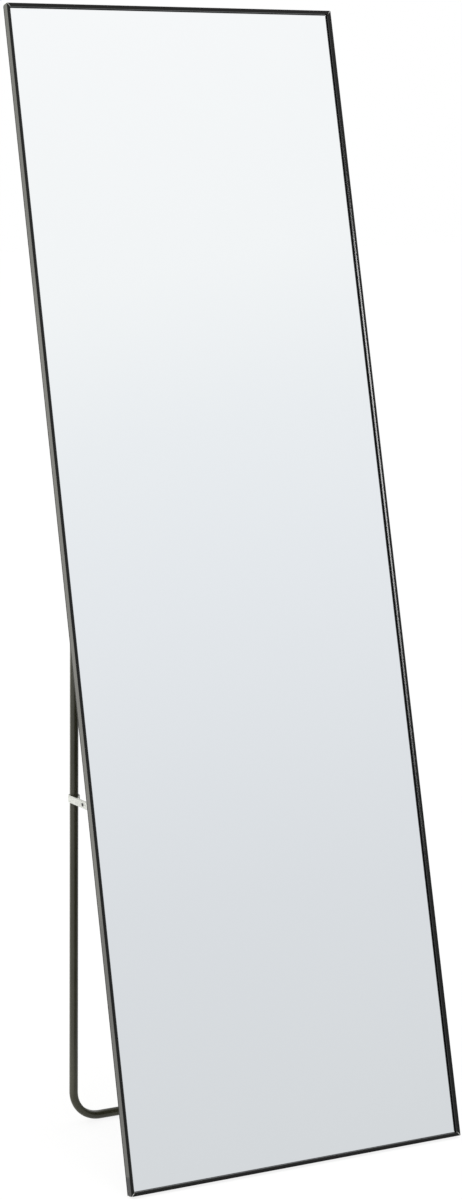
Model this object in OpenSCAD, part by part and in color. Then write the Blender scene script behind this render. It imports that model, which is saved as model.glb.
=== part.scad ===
// Full length mirror in a slim aluminium frame. It leans back on a folding U shaped tube leg,
// and two webbing straps stop the leg. Millimetres, +Z up. The origin is on the floor, under
// the middle of the whole stand. The glass faces -Y, and the leg stands behind it at +Y.
//
// Two local frames are used. In the frame of the mirror, X runs to the right, Y runs back from
// the front face and Z runs up the slope from the bottom edge. In the frame of the leg, the
// pivot axis is X, Y runs back and Z runs up the leg.

/* [Mirror] */
// Outside width of the frame
mirror_w = 500; // [400:10:800]
// Outside height of the frame, along its slope
mirror_h = 1600; // [1300:10:1900]
// Lean of the mirror from upright, in degrees
tilt = 14.2; // [10:0.1:18]

/* [Frame profile] */
// Depth of the frame, front to back
frame_depth = 14; // [13:0.5:22]
// Width of the lip round the glass
lip_w = 5; // [4:0.5:9]
// Thickness of the lip
lip_t = 3.2; // [2.4:0.1:4]
// Bevel along the inner edge of the lip
lip_bevel = 1.2; // [0.4:0.1:2]
// Bevel along the two outer edges
edge_bevel = 0.4; // [0.2:0.1:0.8]
// Wall of the hollow profile
wall = 1.5; // [1.2:0.1:1.8]
// Width of the hollow rail behind the glass
rail_w = 12; // [11:0.5:20]
// Width of the groove along the outer side
groove_w = 1.6; // [0.8:0.1:2.4]
// Depth of that groove
groove_d = 0.6; // [0.3:0.1:0.8]
// Distance of the groove from the back face
groove_back = 1; // [0.8:0.1:3]

/* [Glass and back] */
// Thickness of the mirror glass
glass_t = 3; // [3:0.5:5]
// Gap between the edge of the glass and the wall of the frame
glass_edge_gap = 0.5; // [0.3:0.1:1]
// Thickness of the safety film on the back of the glass
film_t = 0.2; // [0.1:0.05:0.5]
// Width of bare glass left round the safety film
film_border = 1; // [0.5:0.5:3]
// Thickness of the adhesive foam sheet
foam_t = 2; // [1:0.5:3]
// Thickness of the back board
board_t = 3; // [2:0.5:4]
// Radius of the corners of the back board and of the foam sheet
board_corner = 4; // [1:0.5:12]

/* [Corner keys] */
// Length of each arm of a corner key
key_arm = 36; // [28:1:60]
// Distance of the grub screw from the end of the arm
key_screw_in = 10; // [6:1:14]
// Radius of a grub screw
grub_r = 2; // [1.5:0.1:2.5]
// Radius of the hex socket in a grub screw
grub_socket_r = 1.15; // [0.8:0.05:1.2]
// Depth of that socket
grub_socket_d = 1.6; // [1:0.1:2]
// Gap round the hex key in its access hole
access_gap = 0.35; // [0.2:0.05:0.4]

/* [Leg] */
// Radius of the leg tube
tube_r = 6; // [5:0.5:9]
// Wall of the leg tube
tube_wall = 1.2; // [0.8:0.1:2]
// Distance of the leg from the side of the mirror, to the middle of the tube
leg_inset = 43; // [38:1:70]
// Radius of the two bends, to the middle of the tube
bend_r = 40; // [30:1:80]
// Angle between the leg and the mirror when the straps are tight, in degrees
leg_open = 15.5; // [12:0.1:20]
// Length of the tube above its pivot
tube_above = 12; // [10:0.5:18]
// Thickness of the cap of a tube plug
plug_cap = 2; // [1:0.5:4]
// Length of a tube plug inside the tube
plug_len = 5; // [3:0.5:6]

/* [Hinge] */
// Height of the pivot above the bottom edge, along the slope
pivot_h = 1008; // [800:1:1100]
// Gap between the folded leg and the back of the frame
fold_gap = 4; // [3.5:0.5:10]
// Radius of the shank of the pivot bolt
bolt_r = 2.5; // [2:0.1:3]
// Radius of the round head of the pivot bolt
bolt_head_r = 4.7; // [4:0.1:6]
// Height of that head
bolt_head_h = 2.8; // [2:0.1:4]
// Radius of the hex socket in the head
bolt_socket_r = 1.7; // [1.2:0.1:1.8]
// Depth of that socket
bolt_socket_d = 1.6; // [1:0.1:1.8]
// Length of the pivot bolt past the face of its nut
bolt_past = 1.5; // [0.5:0.5:4]
// Radius of the lock nut, across its corners
nut_r = 4.6; // [4:0.1:6]
// Height of the lock nut
nut_h = 5; // [4:0.5:7]
// Height of its hexagon
nut_hex_h = 3.7; // [2.5:0.1:3.9]
// Radius of its round collar
nut_collar_r = 3.8; // [3.4:0.1:3.9]
// Radius of a washer
washer_r = 5.5; // [5:0.5:8]
// Thickness of a washer
washer_t = 1; // [0.8:0.1:2]
// Thickness of the steel of the hinge bracket
bracket_t = 2.5; // [2:0.1:4]
// Height of the hinge bracket
bracket_h = 60; // [50:1:90]
// Distance between the two screws of the hinge bracket
bracket_pitch = 42; // [36:1:46]
// Radius of the round end of the ear
ear_r = 8; // [7:0.5:10]
// Height of the ear where it meets its plate
ear_foot_h = 29; // [24:1:40]
// Distance of the outer edge of a plate from the side of the mirror
plate_in = 1.4; // [0.6:0.1:2]

/* [Straps] */
// Height of the straps above the foot, along the leg
strap_up = 463.25; // [300:0.25:560]
// Width of the webbing
strap_w = 10.5; // [8:0.5:16]
// Thickness of the webbing
strap_t = 1.8; // [1.2:0.1:2.4]
// Distance from the middle of the tube to the rivet that closes the loop
loop_len = 36; // [30:1:44]
// Length of the doubled webbing at that rivet
lap_len = 25.5; // [20:0.5:30]
// Length of the doubled webbing past that rivet
lap_past = 6.5; // [5:0.5:9]
// Radius of the shank of a rivet
rivet_r = 1.5; // [1:0.1:2]
// Radius of the head of a rivet
rivet_head_r = 2.4; // [2:0.1:3]
// Height of the head of a rivet
rivet_head_h = 1; // [0.6:0.1:1.4]
// Length of webbing past the rivet at the mirror
strap_past = 6; // [5:0.5:8]
// Thickness of the steel of the strap anchor
anchor_t = 2; // [1.5:0.1:3]
// Height of the strap anchor
anchor_h = 26; // [22:1:40]
// Distance between the two screws of the strap anchor
anchor_pitch = 14; // [11:1:15]
// Radius of the round end of the ear of the anchor
anchor_ear_r = 5; // [4:0.5:6]
// Gap between the end of the webbing and the base of the anchor
anchor_clear = 0.6; // [0.4:0.1:4]
// Gap kept between the folded leg and the ear of the anchor
anchor_gap = 6; // [5:0.5:12]

/* [Wall hangers] */
// Distance of the middle of a hanger below the top of the frame
hanger_down = 90; // [70:5:300]
// Distance of the middle of a hanger from the side of the mirror
hanger_in = 8; // [7.5:0.5:9]
// Width of a hanger
hanger_w = 11; // [10.5:0.5:14]
// Length of a hanger
hanger_len = 62; // [56:1:80]
// Thickness of the steel of a hanger
hanger_t = 1.2; // [1:0.1:2]
// Gap behind the raised part of a hanger
hanger_rise = 3.6; // [2.5:0.1:5]
// Length of each foot of a hanger
hanger_foot = 12; // [11:0.5:16]
// Length of each sloping step of a hanger
hanger_step = 4; // [2:0.5:6]
// Radius of the hole that the head of a wall screw enters
hanger_hole_r = 4.2; // [3.5:0.1:4.6]
// Radius of the slot that holds the neck of the wall screw
hanger_slot_r = 2.2; // [1.6:0.1:2.6]
// Length of that slot, from the middle of the hole to its end
hanger_slot_len = 11; // [8:0.5:13]

/* [Frame screws] */
// Radius of a screw into the rail
screw_r = 1.75; // [1.4:0.05:2]
// How far a screw reaches into the hollow of the rail
screw_reach = 1.8; // [1:0.1:2]
// Radius of the head of a screw
screw_head_r = 3.2; // [2.8:0.1:3.4]
// Radius of the flat top of that head
screw_top_r = 2.2; // [2:0.1:2.6]
// Height of that head
screw_head_h = 1.9; // [1.4:0.1:2.6]
// Length of the cross recess in the head
cross_len = 3.4; // [2.4:0.1:3.8]
// Width of an arm of the cross recess
cross_w = 0.7; // [0.5:0.1:1]
// Depth of the cross recess
cross_d = 1; // [0.6:0.1:1.2]

/* [Clearances] */
// Gap between faces that seat on each other
seat_gap = 0.1; // [0.05:0.01:0.2]
// Radial gap of a shank in its hole
hole_gap = 0.08; // [0.05:0.01:0.1]
// Gap round a corner key in the hollow of the rail
key_gap = 0.2; // [0.1:0.05:0.3]
// Gap between the back board and the rails
board_gap = 0.5; // [0.3:0.1:1]
// Gap between the webbing and the tube
strap_gap = 0.3; // [0.3:0.05:0.6]

/* [Hidden] */

$fn = 48;
cut = 1;

// Depths behind the front face of the frame
glass_front = lip_t + seat_gap;
glass_back = glass_front + glass_t;
film_back = glass_back + film_t;
rail_front = film_back + seat_gap;
hollow_front = rail_front + wall;
hollow_back = frame_depth - wall;
glass_border = wall + glass_edge_gap;
key_t = hollow_back - hollow_front - 2 * key_gap;
key_w = rail_w - 2 * wall - 2 * key_gap;
pivot_y = frame_depth + fold_gap + tube_r;

// Places across the mirror, measured from its middle to the left
side_x = mirror_w / 2;
rail_mid_x = side_x - rail_w / 2;
leg_x = side_x - leg_inset;
tube_bore_r = tube_r - tube_wall;
ear_x = leg_x + tube_r + washer_t + 2 * seat_gap;
bolt_head_x = leg_x - tube_r - washer_t - 2 * seat_gap;
nut_x = ear_x + bracket_t + seat_gap;
bolt_end_x = nut_x + nut_h + bolt_past;
anchor_ear_x = leg_x - tube_r - anchor_gap;
strap_shift = leg_x - anchor_ear_x - seat_gap - strap_t / 2;
plate_edge_x = side_x - plate_in;
hanger_x = side_x - hanger_in;

// The frame stands on its lower back edge, and the leg reaches from its pivot to the floor
lift = (frame_depth - edge_bevel) * sin(tilt);
pivot_z = lift + pivot_h * cos(tilt) - pivot_y * sin(tilt);
leg_len = (pivot_z - tube_r) / cos(leg_open - tilt);
strap_down = leg_len - strap_up;

// The straps run forward from the leg to their rivets on the anchors
strap_end_rise = strap_past * cos(leg_open) + strap_w / 2 * sin(leg_open);
anchor_y = frame_depth + seat_gap + anchor_t + anchor_clear + strap_end_rise;
strap_run = (pivot_y + strap_down * sin(leg_open) - anchor_y) / cos(leg_open);
anchor_z = pivot_h - strap_down * cos(leg_open) - strap_run * sin(leg_open);
loop_r = tube_r + strap_gap;
lap_end = loop_len + lap_past;

// The straight layer of a strap touches the outer side of the tube and heads for its anchor
strap_flat = strap_run - strap_past;
strap_lean = atan2(strap_shift, strap_flat)
    + asin((loop_r + strap_t / 2) / norm([strap_shift, strap_flat]));

hanger_z = mirror_h - hanger_down;
hanger_screw_z = hanger_len / 2 - hanger_foot / 2;
screw_holes = [
    [rail_w / 2, pivot_h - bracket_pitch / 2], [rail_w / 2, pivot_h + bracket_pitch / 2],
    [rail_w / 2, anchor_z - anchor_pitch / 2], [rail_w / 2, anchor_z + anchor_pitch / 2],
    [hanger_in, hanger_z - hanger_screw_z], [hanger_in, hanger_z + hanger_screw_z]
];
key_screw_at = wall + key_gap + key_arm - key_screw_in;

black_aluminium = [0.09, 0.09, 0.085];
black_steel = [0.13, 0.13, 0.11];
zinc = [0.72, 0.72, 0.7];
webbing = [0.94, 0.94, 0.92];
silvered = [0.86, 0.88, 0.9];
black_plastic = [0.08, 0.08, 0.08];

// Puts what is drawn in the frame of the mirror on the floor, leaning back
module leaning() {
    reach = mirror_h * sin(tilt) + frame_depth * cos(tilt);
    translate([0, -reach / 2, lift]) rotate([-tilt, 0, 0]) children();
}

// Puts what is drawn in the frame of the leg at the pivot
module on_leg() {
    leaning() translate([0, pivot_y, pivot_h]) rotate([leg_open, 0, 0]) children();
}

// Draws the left one of a pair, or the right one
module on_side(left) {
    mirror([left ? 0 : 1, 0, 0]) children();
}

module both_sides() {
    on_side(true) children();
    on_side(false) children();
}

// A round bar along X, from one place left of the middle to another
module bar_x(from_x, to_x, r, sides = $fn) {
    translate([-to_x, 0, 0]) rotate([0, 90, 0]) cylinder(r = r, h = to_x - from_x, $fn = sides);
}

// A round bar along Y, from one depth to another
module bar_y(from_y, to_y, r, sides = $fn) {
    translate([0, from_y, 0]) rotate([-90, 0, 0]) cylinder(r = r, h = to_y - from_y, $fn = sides);
}

// A plate in the plane of the mirror, drawn as a flat shape of X and Z
module slab(from_y, to_y) {
    translate([0, to_y, 0]) rotate([90, 0, 0]) linear_extrude(height = to_y - from_y) children();
}

// Section of the frame: X runs in from the outer side, Y runs back from the front face
module frame_section() {
    groove_front = frame_depth - groove_back - groove_w;
    difference() {
        polygon([
            [edge_bevel, 0], [lip_w - lip_bevel, 0], [lip_w, lip_bevel], [lip_w, lip_t],
            [wall, lip_t], [wall, rail_front], [rail_w, rail_front], [rail_w, frame_depth],
            [edge_bevel, frame_depth], [0, frame_depth - edge_bevel], [0, edge_bevel]
        ]);
        translate([wall, hollow_front])
            square([rail_w - 2 * wall, hollow_back - hollow_front]);
        translate([-cut, groove_front]) square([cut + groove_d, groove_w]);
    }
}

// A straight length of the frame along Z, with its outer side at X = 0 and both ends mitred
module mitred_rail(length) {
    reach = rail_w + cut;
    intersection() {
        linear_extrude(height = length) frame_section();
        slab(-cut, frame_depth + cut)
            polygon([[0, 0], [reach, reach], [reach, length - reach], [0, length]]);
    }
}

// The access holes of the grub screws near both ends of a rail
module key_access(length) {
    for (z = [key_screw_at, length - key_screw_at])
        translate([rail_w / 2, 0, z])
            bar_y(hollow_back - cut, frame_depth + cut, grub_socket_r + access_gap);
}

module stile(left) {
    color(black_aluminium) leaning() on_side(left) translate([-side_x, 0, 0]) difference() {
        mitred_rail(mirror_h);
        key_access(mirror_h);
        for (hole = screw_holes)
            translate([hole[0], 0, hole[1]])
                bar_y(hollow_back - cut, frame_depth + cut, screw_r + hole_gap);
    }
}

module frame_left() {
    stile(true);
}

module frame_right() {
    stile(false);
}

// The bottom rail lies along X with its outer side down
module frame_bottom() {
    color(black_aluminium) leaning() translate([side_x, 0, 0]) rotate([0, -90, 0]) difference() {
        mitred_rail(mirror_w);
        key_access(mirror_w);
    }
}

module frame_top() {
    color(black_aluminium) leaning() translate([-side_x, 0, mirror_h]) rotate([0, 90, 0]) difference() {
        mitred_rail(mirror_w);
        key_access(mirror_w);
    }
}

// Draws in the bottom left corner, or the same in another corner
module in_corner(left, bottom) {
    translate([0, 0, bottom ? 0 : mirror_h]) mirror([0, 0, bottom ? 0 : 1])
        on_side(left) translate([-side_x, 0, 0]) children();
}

// Both grub screws of a key: one up the stile, one along the rail
module at_key_screws() {
    translate([rail_w / 2, 0, key_screw_at]) children();
    translate([key_screw_at, 0, rail_w / 2]) children();
}

module corner_key(left, bottom) {
    inner = wall + key_gap;
    arm_end = inner + key_arm;
    arm_side = inner + key_w;
    color(zinc) leaning() in_corner(left, bottom) difference() {
        slab(hollow_front + key_gap, hollow_front + key_gap + key_t) polygon([
            [inner, inner], [arm_end, inner], [arm_end, arm_side],
            [arm_side, arm_side], [arm_side, arm_end], [inner, arm_end]
        ]);
        at_key_screws() bar_y(hollow_front, hollow_back, grub_r + hole_gap);
    }
}

module corner_key_top_left() {
    corner_key(true, false);
}

module corner_key_top_right() {
    corner_key(false, false);
}

module corner_key_bottom_left() {
    corner_key(true, true);
}

module corner_key_bottom_right() {
    corner_key(false, true);
}

// Grub screws in the keys, pressed on the front wall of the hollow
module corner_key_screws() {
    front = hollow_front + seat_gap;
    back = hollow_back - seat_gap;
    color(black_steel) leaning() for (left = [true, false]) for (bottom = [true, false])
        in_corner(left, bottom) at_key_screws() difference() {
            bar_y(front, back, grub_r);
            bar_y(back - grub_socket_d, back + cut, grub_socket_r, 6);
        }
}

// A sheet that is centred on the mirror, inside a border
module sheet_2d(border) {
    translate([-side_x + border, border]) square([mirror_w - 2 * border, mirror_h - 2 * border]);
}

module mirror_glass() {
    color(silvered) leaning() slab(glass_front, glass_back) sheet_2d(glass_border);
}

module safety_film() {
    color([0.75, 0.77, 0.8]) leaning()
        slab(glass_back, film_back) sheet_2d(glass_border + film_border);
}

// The board and the foam fill the opening between the rails, with round corners
module board_2d() {
    in_x = side_x - rail_w - board_gap - board_corner;
    low = rail_w + board_gap + board_corner;
    high = mirror_h - low;
    for (x = [-in_x, in_x]) for (z = [low, high]) translate([x, z]) circle(r = board_corner);
    translate([-in_x, low - board_corner]) square([2 * in_x, high - low + 2 * board_corner]);
    translate([-in_x - board_corner, low]) square([2 * in_x + 2 * board_corner, high - low]);
}

module foam_sheet() {
    color([0.9, 0.9, 0.88]) leaning() slab(film_back, film_back + foam_t) board_2d();
}

module back_board() {
    color([0.2, 0.2, 0.2]) leaning()
        slab(film_back + foam_t, film_back + foam_t + board_t) board_2d();
}

// The left half of the U, as a solid bar of one radius
module leg_bar(r, end_z) {
    straight = leg_len - bend_r;
    translate([-leg_x, 0, -straight]) cylinder(r = r, h = straight + end_z);
    translate([bend_r - leg_x, 0, -straight]) rotate([90, 0, 0]) rotate([0, 0, 180])
        rotate_extrude(angle = 90) translate([bend_r, 0]) circle(r = r);
    translate([bend_r - leg_x, 0, -leg_len]) rotate([0, 90, 0])
        cylinder(r = r, h = leg_x - bend_r);
}

module leg() {
    color(black_steel) on_leg() difference() {
        both_sides() leg_bar(tube_r, tube_above);
        both_sides() leg_bar(tube_bore_r, tube_above + cut);
        both_sides() bar_x(leg_x - tube_r - cut, leg_x + tube_r + cut, bolt_r + hole_gap);
    }
}

// A stepped plastic plug in the top of the tube
module leg_plug(left) {
    color(black_plastic) on_leg() on_side(left) translate([-leg_x, 0, tube_above]) {
        cylinder(r = tube_r, h = plug_cap);
        translate([0, 0, -plug_len]) cylinder(r = tube_bore_r - seat_gap, h = plug_len);
    }
}

module leg_plug_left() {
    leg_plug(true);
}

module leg_plug_right() {
    leg_plug(false);
}

// A flat shape of Y and Z in the ear's plane, given a thickness in X
module ear_slab(from_x, to_x) {
    translate([-to_x, 0, 0]) rotate([90, 0, 90]) linear_extrude(height = to_x - from_x) children();
}

// An angle of bent steel on the back of the stile, with a round ended ear that stands up from it
module angle_bracket(ear_from, ear_to, plate_from, t, h, foot_half, hole_y, hole_r, end_r, pitch) {
    base = frame_depth + seat_gap;
    difference() {
        union() {
            slab(base, base + t)
                translate([-plate_edge_x, -h / 2]) square([plate_edge_x - plate_from, h]);
            ear_slab(ear_from, ear_to) {
                polygon([[base, -foot_half], [hole_y, -end_r], [hole_y, end_r], [base, foot_half]]);
                translate([hole_y, 0]) circle(r = end_r);
            }
        }
        translate([0, hole_y, 0]) bar_x(ear_from - cut, ear_to + cut, hole_r);
        for (z = [-pitch / 2, pitch / 2])
            translate([-rail_mid_x, 0, z]) bar_y(base - cut, base + t + cut, screw_r + hole_gap);
    }
}

module hinge_bracket(left) {
    color(black_steel) leaning() on_side(left) translate([0, 0, pivot_h])
        angle_bracket(ear_x, ear_x + bracket_t, ear_x, bracket_t, bracket_h, ear_foot_h / 2,
            pivot_y, bolt_r + hole_gap, ear_r, bracket_pitch);
}

module hinge_bracket_left() {
    hinge_bracket(true);
}

module hinge_bracket_right() {
    hinge_bracket(false);
}

// A low round head with a cross recess, over a plain shank that enters the rail
module rail_screw(plate_t) {
    seat = frame_depth + plate_t + 2 * seat_gap;
    rim_h = screw_head_h / 2;
    difference() {
        union() {
            bar_y(hollow_back - screw_reach, seat + rim_h, screw_r);
            bar_y(seat, seat + rim_h, screw_head_r);
            translate([0, seat + rim_h, 0]) rotate([-90, 0, 0])
                cylinder(r1 = screw_head_r, r2 = screw_top_r, h = screw_head_h - rim_h);
        }
        for (turn = [0, 90])
            rotate([0, turn, 0]) translate([-cross_len / 2, seat + screw_head_h - cross_d, -cross_w / 2])
                cube([cross_len, cross_d + cut, cross_w]);
    }
}

module hinge_bracket_screws() {
    color(black_steel) leaning() both_sides() for (z = [-bracket_pitch / 2, bracket_pitch / 2])
        translate([-rail_mid_x, 0, pivot_h + z]) rail_screw(bracket_t);
}

// A bolt from the inside of the tube, through the tube, the washers and the ear
module pivot_bolt(left) {
    color(zinc) leaning() on_side(left) translate([0, pivot_y, pivot_h]) {
        bar_x(bolt_head_x - seat_gap, bolt_end_x, bolt_r);
        difference() {
            bar_x(bolt_head_x - bolt_head_h, bolt_head_x, bolt_head_r);
            bar_x(bolt_head_x - bolt_head_h - cut, bolt_head_x - bolt_head_h + bolt_socket_d,
                bolt_socket_r, 6);
        }
    }
}

module pivot_bolt_left() {
    pivot_bolt(true);
}

module pivot_bolt_right() {
    pivot_bolt(false);
}

module pivot_nut(left) {
    color(zinc) leaning() on_side(left) translate([0, pivot_y, pivot_h]) difference() {
        union() {
            bar_x(nut_x, nut_x + nut_hex_h, nut_r, 6);
            bar_x(nut_x, nut_x + nut_h, nut_collar_r);
        }
        bar_x(nut_x - cut, nut_x + nut_h + cut, bolt_r + hole_gap);
    }
}

module pivot_nut_left() {
    pivot_nut(true);
}

module pivot_nut_right() {
    pivot_nut(false);
}

// One washer on each side of the tube, on the pivot bolt
module washers(from_x) {
    color(zinc) leaning() both_sides() translate([0, pivot_y, pivot_h]) difference() {
        bar_x(from_x, from_x + washer_t, washer_r);
        bar_x(from_x - cut, from_x + washer_t + cut, bolt_r + hole_gap);
    }
}

module inner_washers() {
    washers(bolt_head_x + seat_gap);
}

module outer_washers() {
    washers(leg_x + tube_r + seat_gap);
}

// Points on an arc round the tube, from the return of the loop to the straight layer
function wrap(r, from) = [
    for (i = [0:32]) let (a = from + i * (180 - from) / 32) [r * cos(a), r * sin(a)]
];

// A point of the mirror's end of a strap, in the frame of its straight layer
function leaned(p) = [
    p[0] * cos(strap_lean) + p[1] * sin(strap_lean),
    p[1] * cos(strap_lean) - p[0] * sin(strap_lean)
];

// The webbing from above: flat on the ear of the anchor, straight to the outer side of the
// tube, round the tube, and back to the lap on the inner side of the straight layer
module strap_2d() {
    half = strap_t / 2;
    outer_r = loop_r + strap_t;
    lap_x = strap_t - loop_r;
    tip = [-loop_r, lap_len - lap_end - strap_t];
    leave = atan2(tip[1], tip[0]) + acos(loop_r / norm(tip));
    lap_y = (outer_r - lap_x * cos(leave)) / sin(leave);
    tail = [
        leaned([strap_shift - half, -strap_flat]),
        leaned([strap_shift - half, -strap_run - strap_past]),
        leaned([strap_shift + half, -strap_run - strap_past]),
        leaned([strap_shift + half, -strap_flat])
    ];
    lap = [[-loop_r, -lap_end], [lap_x, -lap_end], [lap_x, lap_y]];
    rotate(strap_lean) difference() {
        polygon(concat(wrap(outer_r, leave), tail, lap));
        polygon(concat(wrap(loop_r, leave), [tip]));
    }
}

module strap(left) {
    color(webbing) on_leg() on_side(left) translate([-leg_x, 0, -strap_down]) difference() {
        translate([0, 0, -strap_w / 2]) linear_extrude(height = strap_w) strap_2d();
        rotate(strap_lean) translate([-loop_r, -loop_len, 0])
            bar_x(-2 * strap_t, 2 * strap_t, rivet_r + hole_gap);
        translate([strap_shift, -strap_run, 0]) bar_x(-strap_t, strap_t, rivet_r + hole_gap);
    }
}

module strap_left() {
    strap(true);
}

module strap_right() {
    strap(false);
}

// A rivet along X with a flat head at both ends, over a grip from one place to another
module rivet(from_x, to_x) {
    bar_x(from_x - rivet_head_h, to_x + rivet_head_h, rivet_r);
    bar_x(from_x - rivet_head_h, from_x, rivet_head_r);
    bar_x(to_x, to_x + rivet_head_h, rivet_head_r);
}

module strap_rivets() {
    grip = strap_t + seat_gap;
    color(black_steel) on_leg() both_sides() translate([-leg_x, 0, -strap_down])
        rotate(strap_lean) translate([-loop_r, -loop_len, 0]) rivet(-grip, grip);
}

// The anchor reaches under the folded leg, and its ear stands on the inner side of the leg
module strap_anchor(left) {
    color(black_steel) leaning() on_side(left) translate([0, 0, anchor_z])
        angle_bracket(anchor_ear_x - anchor_t, anchor_ear_x, anchor_ear_x - anchor_t, anchor_t,
            anchor_h, anchor_h / 2, anchor_y, rivet_r + hole_gap, anchor_ear_r, anchor_pitch);
}

module strap_anchor_left() {
    strap_anchor(true);
}

module strap_anchor_right() {
    strap_anchor(false);
}

module strap_anchor_screws() {
    color(black_steel) leaning() both_sides() for (z = [-anchor_pitch / 2, anchor_pitch / 2])
        translate([-rail_mid_x, 0, anchor_z + z]) rail_screw(anchor_t);
}

module strap_anchor_rivets() {
    color(black_steel) leaning() both_sides() translate([0, anchor_y, anchor_z])
        rivet(anchor_ear_x - anchor_t - seat_gap, anchor_ear_x + strap_t + 2 * seat_gap);
}

// A raised steel strip with a keyhole, screwed to the back of the stile
module wall_hanger(left) {
    base = frame_depth + seat_gap;
    top = base + hanger_rise;
    foot_z = hanger_len / 2 - hanger_foot;
    step_z = foot_z - hanger_step;
    end_z = hanger_len / 2;
    hole_z = -hanger_slot_len / 2;
    color(zinc) leaning() on_side(left) translate([-hanger_x, 0, hanger_z]) difference() {
        ear_slab(-hanger_w / 2, hanger_w / 2) polygon([
            [base, -end_z], [base, -foot_z], [top, -step_z], [top, step_z], [base, foot_z],
            [base, end_z], [base + hanger_t, end_z], [base + hanger_t, foot_z],
            [top + hanger_t, step_z], [top + hanger_t, -step_z], [base + hanger_t, -foot_z],
            [base + hanger_t, -end_z]
        ]);
        translate([0, 0, hole_z]) bar_y(top - cut, top + hanger_t + cut, hanger_hole_r);
        translate([0, 0, hole_z + hanger_slot_len])
            bar_y(top - cut, top + hanger_t + cut, hanger_slot_r);
        translate([-hanger_slot_r, top - cut, hole_z])
            cube([2 * hanger_slot_r, hanger_t + 2 * cut, hanger_slot_len]);
        for (z = [-hanger_screw_z, hanger_screw_z])
            translate([0, 0, z]) bar_y(base - cut, base + hanger_t + cut, screw_r + hole_gap);
    }
}

module wall_hanger_left() {
    wall_hanger(true);
}

module wall_hanger_right() {
    wall_hanger(false);
}

module wall_hanger_screws() {
    color(zinc) leaning() both_sides() for (z = [-hanger_screw_z, hanger_screw_z])
        translate([-hanger_x, 0, hanger_z + z]) rail_screw(hanger_t);
}

frame_left();
frame_right();
frame_top();
frame_bottom();
corner_key_top_left();
corner_key_top_right();
corner_key_bottom_left();
corner_key_bottom_right();
corner_key_screws();
mirror_glass();
safety_film();
foam_sheet();
back_board();
leg();
leg_plug_left();
leg_plug_right();
hinge_bracket_left();
hinge_bracket_right();
hinge_bracket_screws();
pivot_bolt_left();
pivot_bolt_right();
pivot_nut_left();
pivot_nut_right();
inner_washers();
outer_washers();
strap_left();
strap_right();
strap_rivets();
strap_anchor_left();
strap_anchor_right();
strap_anchor_screws();
strap_anchor_rivets();
wall_hanger_left();
wall_hanger_right();
wall_hanger_screws();
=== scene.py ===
# %% [markdown]
# # A full length mirror on a folding leg
# A tall mirror in a slim black aluminium frame leans back on a U shaped tube leg, and two white
# webbing straps stop the leg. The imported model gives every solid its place. This lesson gives the
# parts their edges, their bends and their finishes, and it photographs them in a white studio.

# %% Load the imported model
import math
import bmesh
import bpy
from mathutils import Matrix, Vector


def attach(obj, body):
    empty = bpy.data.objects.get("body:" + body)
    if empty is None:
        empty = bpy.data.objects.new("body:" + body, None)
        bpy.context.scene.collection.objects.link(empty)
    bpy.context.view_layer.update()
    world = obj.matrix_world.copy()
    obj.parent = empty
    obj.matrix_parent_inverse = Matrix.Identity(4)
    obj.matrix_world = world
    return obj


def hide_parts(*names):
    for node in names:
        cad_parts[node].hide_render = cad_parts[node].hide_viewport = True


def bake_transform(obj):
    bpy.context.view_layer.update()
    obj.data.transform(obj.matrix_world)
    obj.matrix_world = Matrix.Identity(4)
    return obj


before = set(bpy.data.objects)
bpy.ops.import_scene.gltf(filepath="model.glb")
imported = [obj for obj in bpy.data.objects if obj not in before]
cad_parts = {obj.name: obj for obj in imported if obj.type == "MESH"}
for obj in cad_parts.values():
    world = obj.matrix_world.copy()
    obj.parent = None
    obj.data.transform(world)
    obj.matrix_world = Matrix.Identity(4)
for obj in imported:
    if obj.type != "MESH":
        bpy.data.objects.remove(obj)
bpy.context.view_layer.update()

# %% [markdown]
# ## Two local frames
# Nothing on this mirror stands square to the floor. It is easier to draw a part in the frame of the
# mirror, where Z runs up the slope and Y runs back from the front face, or in the frame of the leg,
# where the pivot axis is X and Z runs up the tube. One matrix for each then puts the part in place.

# %% Sizes in metres, and the two frames
MM = 0.001
LEAN = math.radians(14.2)
LEG_OPEN = math.radians(15.5)
MIRROR_W, MIRROR_H, FRAME_DEPTH, EDGE_BEVEL = 0.5, 1.6, 14 * MM, 0.4 * MM
PIVOT_H, PIVOT_Y = 1.008, 0.024
LEG_LENGTH, LEG_X = 0.968899, 0.207

reach = MIRROR_H * math.sin(LEAN) + FRAME_DEPTH * math.cos(LEAN)
lift = (FRAME_DEPTH - EDGE_BEVEL) * math.sin(LEAN)
on_mirror = Matrix.Translation((0, -reach / 2, lift)) @ Matrix.Rotation(-LEAN, 4, "X")
on_leg = on_mirror @ Matrix.Translation((0, PIVOT_Y, PIVOT_H)) @ Matrix.Rotation(LEG_OPEN, 4, "X")
print("pivot", [round(v, 4) for v in on_leg.translation])

# %% [markdown]
# ## The camera
# The picture was taken with a long lens from the front left, at about chest height. The lens, the
# place and the direction were solved from the outline of the frame, which is a known rectangle.
# The small shift stands for the way the picture was cropped.

# %% Set the camera up
IMAGE_LONG_SIDE = 1200
FOCAL_PIXELS = 2703
CROP_RIGHT, CROP_UP = -0.65, -95
AZIMUTH, PITCH = math.radians(-26.4834), math.radians(7.518)
CAMERA_PLACE = (-1.63777, -3.28051, 1.35826)

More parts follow.
